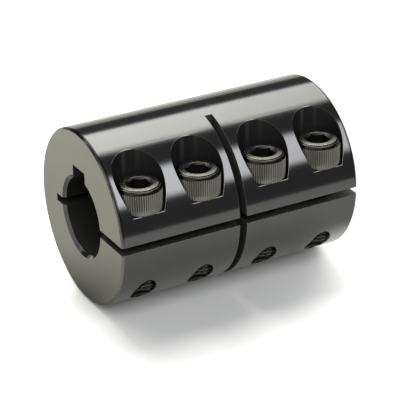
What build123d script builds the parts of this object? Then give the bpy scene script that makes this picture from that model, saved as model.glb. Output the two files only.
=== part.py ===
from build123d import *
import math
import os

# One-piece clamping shaft coupling with a keyway, and its four socket head cap screws.
# The bore axis is Z, and the coupling stands on its lower end face at z = 0. The clamping
# slit opens towards -X, and the screw heads and the keyway face -Y. Sizes in millimetres.

os.makedirs("parts", exist_ok=True)

# Coupling body
coupling_length = 50.0
coupling_diameter = 34.0
end_chamfer = 0.4  # both outer end edges

# Shaft bore and keyway
bore_diameter = 15.0
bore_chamfer = 0.6  # both mouths of the bore
keyway_width = 5.0
keyway_reach = 9.8  # bore axis to the keyway's floor

# Slots that let the two jaws close on the shaft
slit_width = 1.5
notch_width = 1.5
notch_reach = 10.4  # bore axis to the notch's floor, opposite the slit
cut_width = 1.5  # cut at mid-length that parts one shaft's jaws from the other's
cut_inner_edge = 4.2  # bore axis to the cut's straight end, on the slit's side

# Where the screws sit
screw_edge_distance = 4.6  # turned outside, at the slit, to the screw axes
screw_inset = 6.1  # end face to the nearest screw axis
screw_spacing = 12.0  # between the two screws of one shaft
seat_reach = 5.65  # slit's middle plane to the seats under the heads

# Cap screws, thread M5 drawn as a plain cylinder of its outer diameter
thread_diameter = 4.9
screw_length = 16.0  # under the head
tip_chamfer = 0.5
head_diameter = 8.5
head_height = 5.0
head_chamfer = 0.55  # top edge of the head
neck_chamfer = 0.2  # between the head and the thread
socket_width = 4.0  # across the flats of the hexagon
socket_depth = 2.5  # of the flats, above the drilled point
socket_point_angle = 120.0  # of the drilled point
socket_countersink = 0.4  # its mouth's width past the flats
knurl_teeth = 60
knurl_depth = 0.2

# Room round the screws
thread_clearance = 0.05  # radial, in the tapped holes
shank_clearance = 0.3  # radial, between the seats and the slit
head_clearance = 0.5  # radial, in the counterbores
rim_chamfer = 0.08  # broken edges of the counterbores

outer_radius = coupling_diameter / 2
bore_radius = bore_diameter / 2
thread_radius = thread_diameter / 2
head_radius = head_diameter / 2
screw_offset = outer_radius - screw_edge_distance
screw_heights = [
    screw_inset,
    screw_inset + screw_spacing,
    coupling_length - screw_inset - screw_spacing,
    coupling_length - screw_inset,
]


def on_outside(edge):
    """True for an edge whose ends and middle all lie on the turned outside."""
    points = [edge @ 0, edge @ 0.5, edge @ 1]
    return all(abs(Vector(p.X, p.Y).length - outer_radius) < 0.001 for p in points)


def build_cap_screw(seat):
    """One cap screw. The plane seat lies under its head, with z out through the head."""
    head_top = seat.offset(head_height)
    half_section = Plane(seat.origin, x_dir=seat.x_dir, z_dir=-seat.y_dir)
    screw_axis = Axis(seat.origin, seat.z_dir)
    into_head = (Align.CENTER, Align.CENTER, Align.MAX)

    with BuildPart() as cap_screw:
        # Head with a straight knurl of V teeth all round
        knurl_points = [
            Vector(head_radius - step % 2 * knurl_depth, 0).rotate(Axis.Z, step * 180 / knurl_teeth)
            for step in range(2 * knurl_teeth)
        ]
        with BuildSketch(seat):
            with BuildLine():
                Polyline(*knurl_points, close=True)
            make_face()
        extrude(amount=head_height)

        # Chamfer turned on the head's top edge, across the knurl
        with BuildSketch(half_section):
            with BuildLine():
                Polyline(
                    (head_radius - head_chamfer, head_height),
                    (head_radius + head_chamfer, head_height),
                    (head_radius + head_chamfer, head_height - 2 * head_chamfer),
                    close=True,
                )
            make_face()
        revolve(axis=screw_axis, mode=Mode.SUBTRACT)

        # Thread, with a short cone under the head and a chamfered tip
        with BuildSketch(half_section):
            with BuildLine():
                Polyline(
                    (0, 0),
                    (0, -screw_length),
                    (thread_radius - tip_chamfer, -screw_length),
                    (thread_radius, tip_chamfer - screw_length),
                    (thread_radius, -neck_chamfer),
                    (thread_radius + neck_chamfer, 0),
                    close=True,
                )
            make_face()
        revolve(axis=screw_axis)

        # Hexagon socket, broached down to a drilled point, with a countersunk mouth
        with BuildSketch(head_top):
            RegularPolygon(socket_width / 2, 6, major_radius=False)
        extrude(amount=-socket_depth, mode=Mode.SUBTRACT)
        point_height = socket_width / 2 / math.tan(math.radians(socket_point_angle / 2))
        with Locations(head_top.offset(-socket_depth)):
            Cone(0, socket_width / 2, point_height, align=into_head, mode=Mode.SUBTRACT)
        mouth_radius = socket_width / 2 + socket_countersink
        with Locations(head_top):
            Cone(
                socket_width / 2,
                mouth_radius,
                socket_countersink,
                align=into_head,
                mode=Mode.SUBTRACT,
            )
    return cap_screw


with BuildPart() as coupling_body:
    # Turned ring, with its bore and its chamfered edges
    with BuildSketch(Plane.XZ) as ring_section:
        with Locations(((bore_radius + outer_radius) / 2, coupling_length / 2)):
            Rectangle(outer_radius - bore_radius, coupling_length)
        chamfer(ring_section.vertices().group_by(Axis.X)[-1], end_chamfer)
        chamfer(ring_section.vertices().group_by(Axis.X)[0], bore_chamfer)
    revolve(axis=Axis.Z)

    # Counterbored clearance holes down to the slit, tapped holes beyond it
    screw_places = [(-screw_offset, height) for height in screw_heights]
    with Locations(Plane.XZ.offset(outer_radius)):
        with Locations(*screw_places):
            CounterBoreHole(
                radius=thread_radius + shank_clearance,
                counter_bore_radius=head_radius + head_clearance,
                counter_bore_depth=outer_radius - seat_reach,
                depth=outer_radius,
            )
    rims = coupling_body.edges(Select.LAST).filter_by(on_outside)
    with Locations(Plane.XZ):
        with Locations(*screw_places):
            Hole(radius=thread_radius + thread_clearance, depth=outer_radius)
    chamfer(rims, rim_chamfer)

    # Keyway broached from end to end
    with BuildSketch() as keyway:
        Rectangle(keyway_width, keyway_reach, align=(Align.CENTER, Align.MAX))
    extrude(amount=coupling_length, mode=Mode.SUBTRACT)

    # Clamping slit through one wall, and the shallow relief notch in the other
    with BuildSketch() as slots:
        Rectangle(outer_radius, slit_width, align=(Align.MAX, Align.CENTER))
        Rectangle(notch_reach, notch_width, align=(Align.MIN, Align.CENTER))
    extrude(amount=coupling_length, mode=Mode.SUBTRACT)

    # Straight cut across both jaws at mid-length
    with BuildSketch(Plane.XY.offset(coupling_length / 2)) as middle_cut:
        with Locations((-cut_inner_edge, 0)):
            Rectangle(
                outer_radius - cut_inner_edge,
                coupling_diameter,
                align=(Align.MAX, Align.CENTER),
            )
    extrude(amount=cut_width / 2, both=True, mode=Mode.SUBTRACT)

coupling_body.part.label = "coupling_body"
export_step(coupling_body.part, "parts/coupling_body.step")

for number, height in enumerate(screw_heights, start=1):
    seat = Plane(origin=(-screw_offset, -seat_reach, height), x_dir=(1, 0, 0), z_dir=(0, -1, 0))
    cap_screw = build_cap_screw(seat)
    cap_screw.part.label = f"cap_screw_{number}"
    export_step(cap_screw.part, f"parts/cap_screw_{number}.step")
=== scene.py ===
import math

import bmesh
import bpy
from mathutils import Matrix, Vector


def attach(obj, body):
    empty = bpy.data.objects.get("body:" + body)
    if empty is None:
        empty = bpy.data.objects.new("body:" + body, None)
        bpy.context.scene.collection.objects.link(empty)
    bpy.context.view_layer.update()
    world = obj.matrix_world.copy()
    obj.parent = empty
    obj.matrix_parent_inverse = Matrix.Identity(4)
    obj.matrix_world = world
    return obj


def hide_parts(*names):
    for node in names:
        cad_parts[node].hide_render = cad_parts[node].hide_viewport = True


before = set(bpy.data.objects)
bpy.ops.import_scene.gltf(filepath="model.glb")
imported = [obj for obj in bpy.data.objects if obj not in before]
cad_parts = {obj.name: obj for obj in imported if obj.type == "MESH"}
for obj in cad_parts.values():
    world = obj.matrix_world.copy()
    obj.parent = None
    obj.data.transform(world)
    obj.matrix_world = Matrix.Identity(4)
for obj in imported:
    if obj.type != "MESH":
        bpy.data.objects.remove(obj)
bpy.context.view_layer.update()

# Camera
# The picture shows the coupling lying on its side. Here it stands on its lower end, so the
# camera is rolled over by the same amount, and looks down on the slit from the upper end.
camera_data = bpy.data.cameras.new("camera")
camera_data.lens = 161.48
camera_data.sensor_width = 36.0
camera_data.clip_start = 0.02
camera_data.clip_end = 10.0
camera = bpy.data.objects.new("camera", camera_data)
bpy.context.scene.collection.objects.link(camera)
to_the_right = Vector((-0.484918, 0.020209, -0.874326))
upwards = Vector((0.372305, -0.89985, -0.227286))
towards_camera = Vector((-0.791356, -0.435731, 0.42883))
camera_turn = Matrix((to_the_right, upwards, towards_camera)).transposed().to_4x4()
camera.matrix_world = Matrix.Translation((-0.272701, -0.147316, 0.172613)) @ camera_turn
bpy.context.scene.camera = camera
bpy.context.scene.view_settings.view_transform = "Standard"

# Studio
# A pale floor under the coupling, and a pale card that it touches all along one side. The
# card is seen from its front only. Tall soft strip lights stand round them.
length = 0.050  # of the coupling, which stands on the floor
half_sheet = 2.0
card_y = 0.01702
card_edge = -0.115  # past the coupling, on the slit's side


class Value:
    """What a node puts out. Plain signs such as + and > make Math nodes of it."""

    def __init__(self, socket):
        self.socket = socket
        self.tree = socket.id_data

    def __add__(self, other):
        return calc("ADD", self, other)

    def __sub__(self, other):
        return calc("SUBTRACT", self, other)

    def __rsub__(self, other):
        return calc("SUBTRACT", other, self)

    def __mul__(self, other):
        return calc("MULTIPLY", self, other)

    def __truediv__(self, other):
        return calc("DIVIDE", self, other)

    def __gt__(self, other):
        return calc("GREATER_THAN", self, other)

    def __lt__(self, other):
        return calc("LESS_THAN", self, other)

    def __abs__(self):
        return calc("ABSOLUTE", self)

    __radd__ = __add__
    __rmul__ = __mul__


def feed(node, inputs):
    """Give a node's inputs their numbers, colours, Values or sockets."""
    for key, given in inputs.items():
        given = given.socket if isinstance(given, Value) else given
        if isinstance(given, bpy.types.NodeSocket):
            node.id_data.links.new(given, node.inputs[key])
        else:
            node.inputs[key].default_value = given


def add_node(tree, kind, inputs, **settings):
    """A node of this kind, with its settings and what feeds it."""
    node = tree.nodes.new(kind)
    for key, setting in settings.items():
        setattr(node, key, setting)
    feed(node, inputs)
    return node


def calc(operation, *numbers):
    """The Value of one Math node. At least one of the numbers is a Value."""
    tree = next(number.tree for number in numbers if isinstance(number, Value))
    node = add_node(tree, "ShaderNodeMath", dict(enumerate(numbers)), operation=operation)
    return Value(node.outputs[0])


def larger(first, second):
    """The larger of two Values."""
    return calc("MAXIMUM", first, second)


def smaller(first, second):
    """The smaller of two Values."""
    return calc("MINIMUM", first, second)


def between(value, low, high, bottom=0.0, top=1.0):
    """A smooth step over a Value, from bottom at low to top at high."""
    node = add_node(
        value.tree, "ShaderNodeMapRange",
        {"Value": value, "From Min": low, "From Max": high, "To Min": bottom, "To Max": top},
        interpolation_type="SMOOTHSTEP",
    )
    return Value(node.outputs["Result"])


def mixed(factor, first, second):
    """A colour from the first one at 0 to the second at 1."""
    node = add_node(
        factor.tree, "ShaderNodeMix", {0: factor, 6: first, 7: second}, data_type="RGBA"
    )
    return Value(node.outputs[2])


def axes_of(vector):
    """The parts of a vector's socket along X, Y and Z."""
    parts = add_node(vector.id_data, "ShaderNodeSeparateXYZ", {0: vector})
    return [Value(part) for part in parts.outputs]


def new_material(name):
    """A material with only a Principled BSDF and an output, and its nodes."""
    material = bpy.data.materials.new(name)
    material.use_nodes = True
    return material, material.node_tree


def new_group(name, inputs, outputs):
    """A shader node group. Its sockets are names and kinds: Float, Color or Vector. Gives
    the group, the Values of its inputs by name, and the node that takes its outputs."""
    group = bpy.data.node_groups.new(name, "ShaderNodeTree")
    for in_out, sockets in (("INPUT", inputs), ("OUTPUT", outputs)):
        for label, kind in sockets.items():
            group.interface.new_socket(label, in_out=in_out, socket_type="NodeSocket" + kind)
    given = group.nodes.new("NodeGroupInput").outputs
    return group, {key: Value(given[key]) for key in inputs}, group.nodes.new("NodeGroupOutput")


def seen_directly(path):
    """1 for what the camera sees, also through something clear, and 0 otherwise."""
    return larger(Value(path.outputs["Is Camera Ray"]), Value(path.outputs["Is Transmission Ray"]))


def pale_sheet(name, corners, shades, glows, far_glow, seen_from_behind):
    """A flat pale sheet. Shades and glows are pairs: as the camera sees it, and as the
    coupling mirrors it. What is mirrored has painted light and shade in it: a painted shadow,
    dim along the line where the coupling touches the sheet, but for a painted spot of light
    below the lower end, and painted light above the upper end and far behind the coupling."""
    mesh = bpy.data.meshes.new(name)
    mesh.from_pydata(corners, [], [(0, 1, 2, 3)])
    sheet = bpy.data.objects.new(name, mesh)
    bpy.context.scene.collection.objects.link(sheet)
    material, tree = new_material(name)
    tree.nodes.clear()
    camera_shade, mirrored_shade = shades
    camera_glow, mirrored_glow = glows

    path = tree.nodes.new("ShaderNodeLightPath")
    seen = seen_directly(path)
    shade = mixed(
        seen, (mirrored_shade, mirrored_shade, mirrored_shade, 1),
        (camera_shade, camera_shade * 0.988, camera_shade * 0.970, 1),
    )
    diffuse = add_node(tree, "ShaderNodeBsdfDiffuse", {"Color": shade})

    position = tree.nodes.new("ShaderNodeTexCoord").outputs["Object"]
    x, _, z = axes_of(position)
    beside = larger(x * -2.2, x)  # the dim strip is narrower on the slit's side
    past_ends = larger(abs(z - length / 2) - length / 2, 0.0)
    from_contact = calc("SQRT", beside * beside + past_ends * past_ends)
    # Painted shadow: the mirrored glow is dimmed along the line where the coupling touches the
    # sheet
    painted_contact_shadow = between(from_contact, 0.003, 0.027, bottom=0.25)
    # Painted light: the mirrored glow is brighter above the upper end
    painted_light_above_end = between(z, length, length + 0.006, bottom=1.0, top=1.95)
    # Painted light: a brighter spot of mirrored glow below the lower end
    from_patch = add_node(
        tree, "ShaderNodeVectorMath", {0: position, 1: (-0.009, card_y, -0.003)},
        operation="DISTANCE",
    )
    painted_light_spot = between(Value(from_patch.outputs["Value"]), 0.010, 0.002, top=0.6)
    # Painted light: the mirrored glow grows brighter far behind the coupling
    mirrored = between(x, 0.065, 0.15, bottom=mirrored_glow, top=far_glow)
    mirrored = mirrored * painted_contact_shadow * painted_light_above_end + painted_light_spot
    strength = mirrored * Value(path.outputs["Is Glossy Ray"]) + seen * camera_glow
    tint = mixed(seen, (1, 0.985, 0.93, 1), (1, 1, 1, 1))
    emission = add_node(tree, "ShaderNodeEmission", {"Color": tint, "Strength": strength})

    shader = add_node(tree, "ShaderNodeAddShader", {0: diffuse.outputs[0], 1: emission.outputs[0]})
    if not seen_from_behind:
        geometry = tree.nodes.new("ShaderNodeNewGeometry")
        clear = tree.nodes.new("ShaderNodeBsdfTransparent")
        shader = add_node(
            tree, "ShaderNodeMixShader",
            {0: geometry.outputs["Backfacing"], 1: shader.outputs[0], 2: clear.outputs[0]},
        )
    add_node(tree, "ShaderNodeOutputMaterial", {"Surface": shader.outputs[0]})
    mesh.materials.append(material)
    return sheet


floor = pale_sheet(
    "floor",
    [(-half_sheet, -half_sheet, 0), (half_sheet, -half_sheet, 0),
     (half_sheet, half_sheet, 0), (-half_sheet, half_sheet, 0)],
    shades=(0.8, 0.35), glows=(0.95, 0.19), far_glow=0.19, seen_from_behind=True,
)
floor.visible_glossy = False
floor.visible_shadow = False
floor.visible_diffuse = False
pale_sheet(
    "card",
    [(card_edge, card_y, -half_sheet), (half_sheet, card_y, -half_sheet),
     (half_sheet, card_y, half_sheet), (card_edge, card_y, half_sheet)],
    shades=(0.94, 0.08), glows=(0.02, 0.26), far_glow=0.62, seen_from_behind=False,
)

# The strip lights, each centred on a direction round the coupling's axis, with a soft edge
# of its own on either side
softbox, given, group_out = new_group(
    "softbox",
    {"Azimuth": "Float", "Height": "Float", "Centre": "Float", "Half Width": "Float",
     "Reach": "Float", "Fade": "Float", "First Edge": "Float", "Last Edge": "Float"},
    {"Mask": "Float"},
)
off_centre = given["Azimuth"] - given["Centre"]
half_width = given["Half Width"]
first_side = between(
    off_centre * -1.0, half_width + given["First Edge"], half_width - given["First Edge"]
)
last_side = between(
    off_centre, half_width + given["Last Edge"], half_width - given["Last Edge"]
)
along = between(abs(given["Height"]), given["Reach"] + given["Fade"], given["Reach"])
feed(group_out, {"Mask": first_side * last_side * along})

world = bpy.data.worlds.new("studio")
bpy.context.scene.world = world
world.use_nodes = True
sky = world.node_tree
sky.nodes.clear()
east, north, up = axes_of(sky.nodes.new("ShaderNodeTexCoord").outputs["Generated"])
azimuth = calc("ARCTAN2", north, east)
light = (0.072, 0.072, 0.077, 1)  # of the dim room
for centre_deg, half_width_deg, reach, fade, first_edge, last_edge, colour in [
    (-133.9, 19.5, 0.38, 0.4, 0.10, 0.10, (2.07, 2.115, 2.18, 1)),  # strip in front of the slit
    (-57.2, 20.3, 0.38, 0.4, 0.10, 0.06, (2.27, 2.295, 2.2, 1)),  # strip behind it
    (0, 11, 0.8, 0.15, 0.05, 0.05, (0.6, 0.6, 0.52, 1)),  # pale far end of the room
]:
    box = add_node(
        sky, "ShaderNodeGroup",
        {"Azimuth": azimuth, "Height": up, "Centre": math.radians(centre_deg),
         "Half Width": math.radians(half_width_deg), "Reach": reach, "Fade": fade,
         "First Edge": first_edge, "Last Edge": last_edge},
        node_tree=softbox,
    )
    light = mixed(Value(box.outputs["Mask"]), light, colour)
light = mixed(between(up, 0.6, 0.85), light, (0.63, 0.63, 0.62, 1))  # pale ceiling
room = add_node(sky, "ShaderNodeBackground", {"Color": light})
white = add_node(sky, "ShaderNodeBackground", {"Color": (1, 1, 1, 1)})
seen_room = add_node(
    sky, "ShaderNodeMixShader",
    {0: seen_directly(sky.nodes.new("ShaderNodeLightPath")), 1: room.outputs[0],
     2: white.outputs[0]},
)
add_node(sky, "ShaderNodeOutputWorld", {"Surface": seen_room.outputs[0]})

# Two soft lamps, which throw the shadow on the card. The first is behind and level with the
# coupling, the second is wide and comes in low from its lower end.
lamp_distance = 0.6
for name, azimuth_deg, height_deg, width, stretch, energy in [
    ("key_lamp", -64.0, -1.8, 0.38, 0.4, 2.4),
    ("side_lamp", -12.0, -44.0, 0.44, 1.46, 14.0),
]:
    lamp_data = bpy.data.lights.new(name, "AREA")
    lamp_data.shape = "ELLIPSE"
    lamp_data.size = width
    lamp_data.size_y = width * stretch
    lamp_data.energy = energy
    lamp = bpy.data.objects.new(name, lamp_data)
    bpy.context.scene.collection.objects.link(lamp)
    lamp_azimuth, lamp_height = math.radians(azimuth_deg), math.radians(height_deg)
    lamp_direction = Vector((
        math.cos(lamp_height) * math.cos(lamp_azimuth),
        math.cos(lamp_height) * math.sin(lamp_azimuth),
        math.sin(lamp_height),
    ))
    lamp.location = lamp_direction * lamp_distance + Vector((0, 0, length / 2))
    lamp.rotation_mode = "QUATERNION"
    lamp.rotation_quaternion = lamp_direction.to_track_quat("Z", "Y")
    lamp.visible_glossy = False
    lamp.visible_camera = False

# Coupling body
# One piece of steel: turned and bored, broached for the key, slotted, drilled and tapped, and
# then blackened. Its ends were faced after that, so they are a satin grey.
outer_radius = 0.017
bore_radius = 0.0075
slit_half = 0.00075  # the cut at mid-length is as wide
cut_edge_x = -0.0042  # where that cut ends, past the axis
screw_axis_x = -0.0124
seat_y = -0.00565
rim_radius = 0.00479  # of a counterbore, in the middle of its broken edge
hole_radius = 0.0025  # tapped
screw_heights = [0.0061, 0.0181, 0.0319, 0.0439]
pair_height = 0.0129  # from mid-length to the middle of one shaft's two screws
pair_half = 0.006
hair = 0.00002  # keeps a limit clear of the surface that it is for

# Uneven colour and shine, as scale, soot or rubbing leave on steel
mottling, given, group_out = new_group(
    "mottling",
    {"Position": "Vector", "Scale": "Float", "Detail": "Float", "First Colour": "Color",
     "Second Colour": "Color", "Least Roughness": "Float", "More Roughness": "Float"},
    {"Pattern": "Float", "Colour": "Color", "Roughness": "Float"},
)
pattern = Value(add_node(
    mottling, "ShaderNodeTexNoise",
    {"Vector": given["Position"], "Scale": given["Scale"], "Detail": given["Detail"]},
).outputs["Fac"])
feed(group_out, {
    "Pattern": pattern,
    "Colour": mixed(pattern, given["First Colour"], given["Second Colour"]),
    "Roughness": pattern * given["More Roughness"] + given["Least Roughness"],
})

# How far an edge is worn down to bright steel, partly real and partly a painted highlight, in
# patches, by the distance from it
edge_wear_and_glint, given, group_out = new_group(
    "edge_wear_and_glint",
    {"Distance": "Float", "Width": "Float", "Patchiness": "Float", "Scale": "Float",
     "Position": "Vector"},
    {"Worn And Lit": "Float"},
)
patches = add_node(
    edge_wear_and_glint, "ShaderNodeTexNoise",
    {"Vector": given["Position"], "Scale": given["Scale"], "Detail": 4.0},
)
uneven = add_node(
    edge_wear_and_glint, "ShaderNodeMapRange",
    {"Value": patches.outputs["Fac"], "From Min": 0.3, "From Max": 0.7, "To Min": 1.0,
     "To Max": 0.0},
)
kept = 1.0 - Value(uneven.outputs["Result"]) * given["Patchiness"]
feed(group_out, {"Worn And Lit": between(given["Distance"], given["Width"] * kept, 0.0) * kept})


def mottled(tree, scale, detail, colours, roughness):
    """The mottling in a material. It runs between two colours, and roughness is the least
    there is and how much more the pattern adds."""
    place = tree.nodes.new("ShaderNodeTexCoord")
    placed = add_node(
        tree, "ShaderNodeGroup",
        {"Position": place.outputs["Object"], "Scale": scale, "Detail": detail,
         "First Colour": colours[0], "Second Colour": colours[1],
         "Least Roughness": roughness[0], "More Roughness": roughness[1]},
        node_tree=mottling,
    )
    return [Value(placed.outputs[key]) for key in ("Pattern", "Colour", "Roughness")]


def noise_along(value, axis, scale, detail):
    """Noise that changes with one Value only, laid along this axis of the pattern."""
    line = add_node(value.tree, "ShaderNodeCombineXYZ", {axis: value})
    return Value(add_node(
        value.tree, "ShaderNodeTexNoise",
        {"Vector": line.outputs[0], "Scale": scale, "Detail": detail},
    ).outputs["Fac"])


body_steel, steel = new_material("body_steel")
place = steel.nodes.new("ShaderNodeTexCoord")
x, y, z = axes_of(place.outputs["Object"])
_, _, facing_up = axes_of(place.outputs["Normal"])
from_axis = add_node(steel, "ShaderNodeCombineXYZ", {"X": x, "Y": y})
radius = Value(add_node(
    steel, "ShaderNodeVectorMath", {0: from_axis.outputs[0]}, operation="LENGTH"
).outputs["Value"])
outwards = Value(add_node(
    steel, "ShaderNodeVectorMath", {0: from_axis.outputs[0], 1: place.outputs["Normal"]},
    operation="DOT_PRODUCT",
).outputs["Value"])
from_middle = abs(z - length / 2)

# Faced ends, with the chamfers turned in the same set-up, and the turned outside
near_end = from_middle > length / 2 - 0.001
tilt = abs(facing_up)
faced = (tilt > 0.9) * near_end
chamfered = (tilt > 0.5) * near_end * (1.0 - faced)
turned = (radius > outer_radius - 2 * hair) * (outwards > outer_radius - 0.0006)
turned = larger(turned, chamfered)
inner_rim = chamfered * (radius < (bore_radius + outer_radius) / 2)
by_end = between(from_middle, length / 2 - 0.0007, length / 2 - 0.00055)
outer_rim = larger(chamfered, by_end * turned)
# The dark band on the ends' outer edges is a painted dark reflection, kept to the upper side only
outer_rim = (outer_rim - inner_rim) * between(y, 0.002, -0.005)

# Where a point is round the nearest screw's axis: out_x is to the bore's side, out_z is up
to_axis_x = x - screw_axis_x
from_pair = from_middle - pair_height
to_axis_z = abs(from_pair) - pair_half
which_way = calc("SIGN", from_pair) * calc("SIGN", z - length / 2)
to_axis = calc("SQRT", to_axis_x * to_axis_x + to_axis_z * to_axis_z)
out_x = to_axis_x / to_axis
out_z = to_axis_z / to_axis * which_way
screw_side = y < 0.0
past_seat = y - seat_y

# Edges worn bright, partly real and partly a painted highlight: the distance to the nearest rim of
# a hole, the slit or the cut at mid-length
to_seat = larger(abs(past_seat), to_axis - (rim_radius + 0.00011))
to_rim = smaller(larger(abs(to_axis - rim_radius), past_seat), to_seat)
to_exit = abs(to_axis - hole_radius)
to_hole = to_rim * screw_side + to_exit * (1.0 - screw_side)
to_slit = abs(abs(y) - slit_half) + (x > 0.0)
to_cut = abs(from_middle - slit_half) + (x > cut_edge_x)
wear_and_glint = add_node(
    steel, "ShaderNodeGroup",
    {"Distance": smaller(to_hole, smaller(to_slit, to_cut)), "Width": 0.0001,
     "Patchiness": 0.55, "Scale": 700.0, "Position": place.outputs["Object"]},
    node_tree=edge_wear_and_glint,
)

# Round each screw's counterbore only a part of the rim is rounded over, and that part has a
# painted highlight: an upper arc, a lower arc and the seat's edge
upper_arc = between(out_x * 0.94 + out_z * 0.342, 0.80, 0.92)
lower_arc = between(out_x, -0.2, -0.5) * between(out_z, 0.2, -0.2)
by_seat = between(to_seat, 0.0004, 0.0002)
rounded_and_highlit_part = larger(larger(upper_arc, lower_arc), by_seat)
round_hole = (to_axis < rim_radius + 0.00061) * screw_side
softness = 1.0 - round_hole * (1.0 - rounded_and_highlit_part)
# Edges worn to bright steel: partly real, partly a painted highlight
worn_and_highlit = Value(wear_and_glint.outputs["Worn And Lit"]) * turned * softness
on_rim = (radius > outer_radius - 0.0001) * (1.0 - turned)
# Painted highlight on the rounded part of each counterbore's rim
painted_rim_highlight = round_hole * on_rim * rounded_and_highlit_part

# Black oxide outside, with a painted dark reflection along the edges at the ends, on the upper
# side only, and scratches in it
cloud, oxide, rough_outside = mottled(
    steel, 160.0, 5.0, ((0.225, 0.225, 0.223, 1), (0.265, 0.265, 0.263, 1)), (0.10, 0.05)
)
scratches = noise_along(radius, "X", 9000.0, 1.0)
scratched = between(cloud, 0.40, 0.52) * between(scratches, 0.45, 0.6)
scratched = scratched * between(radius, outer_radius - 0.0001, outer_radius - 0.0002)
oxide = mixed(inner_rim * 0.5, oxide, (0.05, 0.05, 0.048, 1))
painted_dark_edge = mixed(scratched, (0.065, 0.064, 0.060, 1), (0.36, 0.355, 0.33, 1))
oxide = mixed(outer_rim, oxide, painted_dark_edge)

# Dull black inside: counterbores with two paler bands of painted reflected light down them, fading
# with depth, then bore, slots and cut
grain, dull, rough_inside = mottled(
    steel, 2600.0, 3.0, ((0.022, 0.022, 0.021, 1), (0.036, 0.035, 0.034, 1)), (0.42, 0.2)
)
in_bore = radius < bore_radius + hair
in_slots = 1.0 - round_hole - in_bore
main_streak = between(abs(out_z * 0.99 - out_x * 0.14), 0.14, 0.02)
faint_streak = between(abs(out_z * 0.91 + out_x * 0.42), 0.14, 0.02) * 0.4
# Painted reflected light in two bands down each counterbore's wall, fading with depth
painted_light_streaks = larger(main_streak, faint_streak) * (out_x > 0.0) * between(y, -0.0085, -0.0135)
dull = mixed(painted_light_streaks, dull, (0.08, 0.08, 0.076, 1))
dull = mixed(in_bore, dull, (0.045, 0.043, 0.038, 1))
dull = mixed(in_slots, dull, (0.07, 0.067, 0.060, 1))
dull = mixed(from_middle < slit_half + hair, dull, (0.12, 0.115, 0.103, 1))

colour = mixed(turned, dull, oxide)
satin = mixed(cloud, (0.36, 0.358, 0.315, 1), (0.41, 0.408, 0.36, 1))
colour = mixed(faced, colour, satin)
colour = mixed(worn_and_highlit, colour, (0.42, 0.415, 0.40, 1))
colour = mixed(painted_rim_highlight, colour, (0.46, 0.455, 0.44, 1))
roughness = turned * rough_outside + (1.0 - turned) * rough_inside
roughness = roughness - faced * 0.12 + worn_and_highlit * 0.38 - painted_rim_highlight * 0.2
metal = larger(larger(turned, painted_rim_highlight), larger(faced, 0.5))

# Tool marks: rings on the faced ends, and a fine feed line round the outside
rings = noise_along(radius, "X", 5200.0, 2.0)
feed_line = noise_along(z, "Z", 4200.0, 2.0)
marks = rings * faced + feed_line * turned * 0.35 + grain * 0.5
softened = add_node(steel, "ShaderNodeBevel", {"Radius": softness * 0.00012}, samples=8)
bump = add_node(
    steel, "ShaderNodeBump",
    {"Height": marks, "Strength": 0.05, "Distance": 0.00001, "Normal": softened.outputs[0]},
)
feed(steel.nodes["Principled BSDF"], {
    "Base Color": colour, "Roughness": roughness, "Metallic": metal, "Normal": bump.outputs[0],
})
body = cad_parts["coupling_body"]
body.data.materials[0] = body_steel

# Threads in the tapped holes
# The last turns of the M5 thread, cut in the body past the screws' tips, where each hole
# breaks out through the turned outside. Black inside, like the holes.
thread_pitch = 0.0008
crest_radius = 0.00214
groove_depth = 0.00038
flange_radius = 0.00254  # both ends of the lining turn out into the wall, past the hole
tapped_from = 0.01045  # from the slit's middle plane to where the lining starts
below_outside = 0.00004  # how far the lining stays under the turned outside
hole_columns, hole_rows = 96, 84


def tapped_radius(turn):
    """The hole's radius through one turn of its thread: a rounded crest and a flat root."""
    from_crest = abs((turn % 1.0) * 2 - 1)
    return crest_radius + groove_depth * min(1.0, max(0.0, from_crest - 0.36) / 0.5)


tapped_steel, tree = new_material("tapped_steel")
_, colour, roughness = mottled(
    tree, 1200.0, 3.0, ((0.07, 0.07, 0.067, 1), (0.11, 0.108, 0.10, 1)), (0.32, 0.15)
)
feed(tree.nodes["Principled BSDF"], {
    "Base Color": colour, "Roughness": roughness, "Metallic": 1.0,
})

# How far round its axis a hole still has a wall where the lining starts
outside_x = -math.sqrt(outer_radius ** 2 - (tapped_from + hair) ** 2)
widest = math.acos((outside_x - screw_axis_x) / hole_radius)
for number, height_z in enumerate(screw_heights, start=1):
    mesh = bmesh.new()
    wall = []
    for column in range(hole_columns + 1):
        angle = widest * (2 * column / hole_columns - 1)
        column_points = []
        exit_x = screw_axis_x + hole_radius * math.cos(angle)
        exit_y = math.sqrt(outer_radius ** 2 - exit_x ** 2) - below_outside
        for row in range(hole_rows + 2):
            y_here = tapped_from + (exit_y - tapped_from) * min(row / hole_rows, 1.0)
            y_here = max(y_here, tapped_from)
            radius_here = tapped_radius(y_here / thread_pitch - angle / (2 * math.pi))
            if row in (0, hole_rows + 1):
                radius_here = flange_radius
            column_points.append(mesh.verts.new((
                screw_axis_x + radius_here * math.cos(angle),
                y_here,
                height_z + radius_here * math.sin(angle),
            )))
        wall.append(column_points)
    for left, right in zip(wall, wall[1:]):
        for row in range(hole_rows + 1):
            mesh.faces.new((left[row], left[row + 1], right[row + 1], right[row]))
    bmesh.ops.remove_doubles(mesh, verts=mesh.verts, dist=0.000001)
    bmesh.ops.recalc_face_normals(mesh, faces=mesh.faces)
    threads = bpy.data.meshes.new(f"tapped_thread_{number}")
    mesh.to_mesh(threads)
    mesh.free()
    threads.materials.append(tapped_steel)
    threads.shade_smooth()
    threads.set_sharp_from_angle(angle=math.radians(40))
    lining = bpy.data.objects.new(f"tapped_thread_{number}", threads)
    bpy.context.scene.collection.objects.link(lining)
    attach(lining, "coupling_body")

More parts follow.
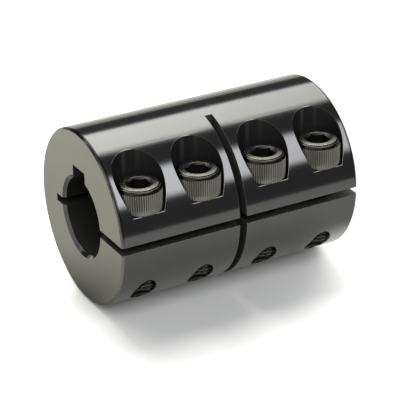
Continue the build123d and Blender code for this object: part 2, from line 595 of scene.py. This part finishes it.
# Cap screws
# Four M5 socket head cap screws of hardened steel, forged, knurled, rolled with their thread
# and blackened. Driving them has rubbed the top ring of each head down to a warm satin.
head_height = 0.005
screw_length = 0.016  # under the head
knurl_teeth = 60
knurl_depth = 0.0002
flat_half = 0.002  # of the hexagon
socket_depth = 0.0025  # of its flats
point_depth = 0.0011  # of the drilled point under them
mouth_slope = math.tan(math.radians(30))  # of its countersink
neck_radius = 0.00205
neck_end = -0.0010
thread_radius = 0.00244
thread_depth = 0.0004
tip_radius = 0.0018
thread_turns = 18  # down to the tip
turn_points, turn_rows = 48, 12  # round one turn of the thread, and along it
rubbed, black, knurled, sooty = range(4)  # the finishes, numbered as the screw's materials
ring_angles = [turn * 2 * math.pi / (8 * knurl_teeth) for turn in range(8 * knurl_teeth)]

# Outline of the head from its knurl up to the hexagon: radius, height over the seat, and the
# finish of the face that ends there
head_outline = [
    (0.00414, 0.00410, black), (0.00411, 0.00413, black), (0.00407, 0.00428, black),
    (0.00402, 0.00442, black), (0.00397, 0.00455, black), (0.00392, 0.00464, black),
    (0.00385, 0.00471, black), (0.00381, 0.00472, rubbed), (0.00373, 0.00476, black),
    (0.00362, 0.00484, black), (0.00357, 0.004885, black), (0.00352, 0.004905, rubbed),
    (0.00342, 0.004918, rubbed), (0.00330, 0.004930, rubbed), (0.00314, 0.004944, rubbed),
    (0.00298, 0.004958, rubbed), (0.00282, 0.004970, rubbed), (0.00270, 0.004978, rubbed),
    (0.00262, 0.004974, rubbed), (0.00256, 0.004957, rubbed), (0.00253, 0.004935, rubbed),
    (0.00251, 0.004905, rubbed),
]
mouth_radius, mouth_height, _ = head_outline[-1]


def tooth(angle):
    """How deep the knurl is at this angle, from 0 on a crest to 1 in a groove."""
    from_groove = abs(((angle * knurl_teeth / (2 * math.pi)) % 1.0) * 2 - 1)
    return min(1.0, max(0.0, (1 - from_groove - 0.12) / 0.76))


def hexagon(angle):
    """The hexagon's radius at this angle."""
    return flat_half / math.cos((angle % (math.pi / 3)) - math.pi / 6)


def ring_of(mesh, seat, height_at, radius_at):
    """A ring of points round a screw's axis. The height is over the seat under the head."""
    return [
        mesh.verts.new((
            seat[0] + radius_at(angle) * math.cos(angle),
            seat[1] - height_at(angle),
            seat[2] + radius_at(angle) * math.sin(angle),
        ))
        for angle in ring_angles
    ]


def skin(mesh, first, second, finish):
    """Faces between two rings, all of one finish."""
    for turn in range(len(first)):
        after = (turn + 1) % len(first)
        face = mesh.faces.new((first[turn], first[after], second[after], second[turn]))
        face.material_index = finish


rubbed_ring, tree = new_material("rubbed_ring")
darker, paler = (0.22, 0.211, 0.189, 1), (0.33, 0.316, 0.283, 1)
rubs, _, roughness = mottled(tree, 1500.0, 4.0, (darker, paler), (0.20, 0.14))
dents = add_node(tree, "ShaderNodeBump", {"Height": rubs, "Strength": 0.10, "Distance": 0.00002})
feed(tree.nodes["Principled BSDF"], {
    "Base Color": mixed(between(rubs, 0.35, 0.7), darker, paler),
    "Roughness": roughness, "Metallic": 1.0, "Normal": dents.outputs[0],
})

screw_black, tree = new_material("screw_black")
_, colour, roughness = mottled(
    tree, 1100.0, 4.0, ((0.04, 0.039, 0.036, 1), (0.07, 0.068, 0.063, 1)), (0.18, 0.14)
)
feed(tree.nodes["Principled BSDF"], {
    "Base Color": colour, "Roughness": roughness, "Metallic": 1.0,
})

knurled_black, tree = new_material("knurled_black")
_, crest, roughness = mottled(
    tree, 1300.0, 4.0, ((0.33, 0.32, 0.288, 1), (0.46, 0.447, 0.402, 1)), (0.30, 0.15)
)
# The knurl's grooves get a darker colour than its crests: painted shade in the grooves
groove = Value(add_node(tree, "ShaderNodeAttribute", {}, attribute_name="groove").outputs["Fac"])
feed(tree.nodes["Principled BSDF"], {
    "Base Color": mixed(between(groove, 0.2, 0.9), crest, (0.20, 0.194, 0.174, 1)),
    "Roughness": roughness, "Metallic": 0.8,
})

socket_black, tree = new_material("socket_black")
_, colour, roughness = mottled(
    tree, 1800.0, 3.0, ((0.06, 0.058, 0.054, 1), (0.11, 0.107, 0.10, 1)), (0.3, 0.2)
)
feed(tree.nodes["Principled BSDF"], {
    "Base Color": colour, "Roughness": roughness, "Metallic": 1.0,
})

for number, height_z in enumerate(screw_heights, start=1):
    seat = (screw_axis_x, seat_y, height_z)
    mesh = bmesh.new()
    # How deep each point lies in a knurl groove, for the painted shade in the grooves
    grooves = mesh.verts.layers.float.new("groove")

    # Underside and knurl, whose teeth run out below the shoulder
    under = ring_of(mesh, seat, lambda angle: 0.0, lambda angle: 0.0026)
    ring = ring_of(mesh, seat, lambda angle: 0.0, lambda angle: 0.00398)
    skin(mesh, under, ring, black)
    for height, reach, depth in [
        (0.00012, 0.00412, 0.2), (0.00030, 0.00420, 0.3), (0.00085, 0.00422, 0.5),
        (0.00125, 0.00422, 1.0), (0.0025, 0.00422, 1.0),
        (0.00388, 0.00422, 1.0), (0.00399, 0.00421, 0.6), (0.00406, 0.00419, 0.2),
    ]:
        above = ring_of(
            mesh, seat, lambda angle: height,
            lambda angle: reach - depth * knurl_depth * tooth(angle),
        )
        for angle, point in zip(ring_angles, above):
            point[grooves] = depth * tooth(angle)
        skin(mesh, ring, above, knurled)
        ring = above

    # Tapered shoulder, rounded edge and slightly domed ring round the hexagon
    for reach, height, finish in head_outline:
        above = ring_of(mesh, seat, lambda angle: height, lambda angle: reach)
        skin(mesh, ring, above, finish)
        ring = above

    # Countersunk mouth, the hexagon's six walls, and the drilled point under them
    for height_at, radius_at in [
        (lambda angle: mouth_height - (mouth_radius - hexagon(angle)) * mouth_slope, hexagon),
        (lambda angle: head_height - socket_depth, hexagon),
        (lambda angle: head_height - socket_depth - 0.00001, lambda angle: 0.0019),
        (lambda angle: head_height - socket_depth - point_depth, lambda angle: 0.00002),
    ]:
        above = ring_of(mesh, seat, height_at, radius_at)
        skin(mesh, ring, above, sooty)
        ring = above
    mesh.faces.new(ring).material_index = sooty

    # Neck, thread and chamfered tip. The thread is one helical surface.
    spiral = []
    for row in range(-turn_rows, thread_turns * turn_rows + 1):
        line = []
        for column in range(turn_points):
            turn = row / turn_rows + column / turn_points
            from_crest = abs((turn % 1.0) * 2 - 1)
            reach = thread_radius - thread_depth * min(1.0, max(0.0, from_crest - 0.08) / 0.8)
            height = min(neck_end - turn * thread_pitch, -0.0002)
            height = max(height, hair - screw_length)
            reach = min(reach, tip_radius + screw_length + height)
            if height > neck_end:
                reach = neck_radius
            angle = -2 * math.pi * column / turn_points
            line.append(mesh.verts.new((
                seat[0] + reach * math.cos(angle), seat[1] - height,
                seat[2] + reach * math.sin(angle),
            )))
        spiral.append(line)
    for row in range(len(spiral) - 1):
        for column in range(turn_points):
            if column < turn_points - 1:
                quad = (spiral[row][column], spiral[row][column + 1],
                        spiral[row + 1][column + 1], spiral[row + 1][column])
            elif row + turn_rows + 1 < len(spiral):
                quad = (spiral[row][column], spiral[row + turn_rows][0],
                        spiral[row + turn_rows + 1][0], spiral[row + 1][column])
            else:
                continue
            mesh.faces.new(quad).material_index = black
    tip = []
    for column in range(turn_points):
        angle = -2 * math.pi * column / turn_points
        tip.append(mesh.verts.new((
            seat[0] + tip_radius * math.cos(angle), seat[1] + screw_length,
            seat[2] + tip_radius * math.sin(angle),
        )))
    mesh.faces.new(tip).material_index = black
    bmesh.ops.remove_doubles(mesh, verts=mesh.verts, dist=0.0000005)
    bmesh.ops.recalc_face_normals(mesh, faces=mesh.faces)
    detail = bpy.data.meshes.new(f"detailed_screw_{number}")
    mesh.to_mesh(detail)
    mesh.free()
    for material in (rubbed_ring, screw_black, knurled_black, socket_black):
        detail.materials.append(material)
    detail.shade_smooth()
    detail.set_sharp_from_angle(angle=math.radians(20))
    screw = bpy.data.objects.new(f"detailed_screw_{number}", detail)
    bpy.context.scene.collection.objects.link(screw)
    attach(screw, f"cap_screw_{number}")
    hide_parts(f"cap_screw_{number}")
